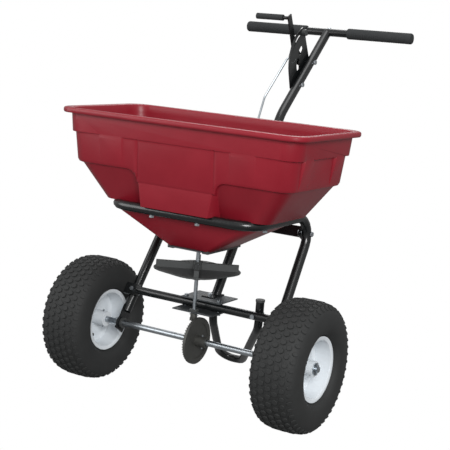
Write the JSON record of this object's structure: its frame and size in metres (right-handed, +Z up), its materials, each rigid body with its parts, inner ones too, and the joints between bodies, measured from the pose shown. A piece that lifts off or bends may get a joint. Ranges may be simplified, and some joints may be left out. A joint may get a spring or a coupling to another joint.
{
  "type": "broadcast_spreader",
  "caption": "Walk-behind broadcast spreader with a moulded hopper, bent-tube frame, two pneumatic wheels, geared impeller and a hand lever for its shut-off gate.",
  "frame": {"origin": "on the ground under the middle of the bounding box", "axes": "+Z up, +X along the axle to the operator's right when facing the front, -Y the front, +Y the push handle"},
  "size_m": [0.76, 0.9232, 0.9336],
  "materials": {
    "red_moulding": "moulded, slightly glossy",
    "black_paint": "satin powder coat",
    "grip_foam": "matte foam",
    "tyre_rubber": "matte rubber",
    "valve_rubber": "matte rubber",
    "wheel_paint": "semi-gloss enamel",
    "gear_metal": "dull cast",
    "sheet_steel": "blackened sheet",
    "dark_plastic": "matte moulded",
    "zinc_plate": "bright zinc plate"
  },
  "bodies": {
    "body": {"axle_bush_left": "dark_plastic", "axle_bush_right": "dark_plastic", "brace_bolt_left": "zinc_plate", "brace_bolt_right": "zinc_plate", "brace_handle_bolt": "zinc_plate", "cradle_bolt_1": "zinc_plate", "cradle_bolt_2": "zinc_plate", "cradle_bolt_3": "zinc_plate", "cradle_bolt_4": "zinc_plate", "cross_tube": "black_paint", "cross_tube_bolt_left": "zinc_plate", "cross_tube_bolt_right": "zinc_plate", "frame_tube": "black_paint", "gate_rail_left": "dark_plastic", "gate_rail_right": "dark_plastic", "gear_plate_lower": "sheet_steel", "gear_plate_upper": "sheet_steel", "grip_left": "grip_foam", "grip_right": "grip_foam", "handle_bar": "black_paint", "handle_bar_bolt": "zinc_plate", "handle_foot_bolt": "zinc_plate", "handle_lower_tube": "black_paint", "handle_upper_tube": "black_paint", "hopper": "red_moulding", "lever_pivot_bolt": "zinc_plate", "plate_bolt_left": "zinc_plate", "plate_bolt_right": "zinc_plate", "quadrant_bolt": "zinc_plate", "quadrant_plate": "black_paint", "rear_brace": "black_paint", "shaft_bush_lower": "dark_plastic", "shaft_bush_upper": "dark_plastic", "splice_bolt": "zinc_plate", "stand_bolt": "zinc_plate", "stand_cap": "dark_plastic", "stand_tube": "black_paint"},
    "axle": {"axle": "zinc_plate", "drive_gear": "gear_metal", "gear_pin": "zinc_plate", "tyre_left": "tyre_rubber", "rim_left": "wheel_paint", "hub_left": "wheel_paint", "drive_pin": "zinc_plate", "valve_left": "valve_rubber", "axle_washer": "zinc_plate", "cotter_pin": "zinc_plate"},
    "free_wheel": {"tyre_right": "tyre_rubber", "rim_right": "wheel_paint", "hub_right": "wheel_paint", "valve_right": "valve_rubber"},
    "impeller": {"impeller_shaft": "zinc_plate", "pinion": "gear_metal", "pinion_pin": "zinc_plate", "impeller": "dark_plastic"},
    "shutoff_lever": {"shutoff_lever": "black_paint", "lever_grip": "grip_foam"},
    "control_rod": {"control_rod": "zinc_plate"},
    "gate": {"gate": "sheet_steel"},
    "rate_stop": {"rate_stop": "dark_plastic"}
  },
  "joints": [
    {"name": "axle_spin", "type": "hinge", "parent": "body", "child": "axle", "pos_m": [0, -0.2966, 0.165], "axis": [1, 0, 0], "continuous": true},
    {"name": "free_wheel_spin", "type": "hinge", "parent": "body", "child": "free_wheel", "pos_m": [0.316, -0.2966, 0.165], "axis": [1, 0, 0], "continuous": true},
    {"name": "impeller_spin", "type": "hinge", "parent": "body", "child": "impeller", "pos_m": [0, -0.26798, 0.34575], "axis": [0, 0.1564, 0.9877], "continuous": true},
    {"name": "shutoff_lever_hinge", "type": "hinge", "parent": "body", "child": "shutoff_lever", "pos_m": [-0.03, 0.34098, 0.7906], "axis": [-1, 0, 0], "range_deg": [0, 18.41]},
    {"name": "control_rod_hinge", "type": "hinge", "parent": "shutoff_lever", "child": "control_rod", "pos_m": [-0.04, 0.27803, 0.80867], "axis": [-1, 0, 0], "range_deg": [-23.88, 0]},
    {"name": "gate_slide", "type": "slide", "parent": "body", "child": "gate", "axis": [0, 0.9877, -0.1564], "range_m": [0, 0.0441]},
    {"name": "rate_stop_slide", "type": "hinge", "parent": "body", "child": "rate_stop", "pos_m": [-0.014, 0.34098, 0.7906], "axis": [1, 0, 0], "range_deg": [0, 45]}
  ],
  "couplings": [
    {"joint": "impeller_spin", "follows": "axle_spin", "ratio": -6.25},
    {"joint": "control_rod_hinge", "follows": "shutoff_lever_hinge", "ratio": -1.2428},
    {"joint": "gate_slide", "follows": "shutoff_lever_hinge", "m_per_rad": 0.13694}
  ]
}
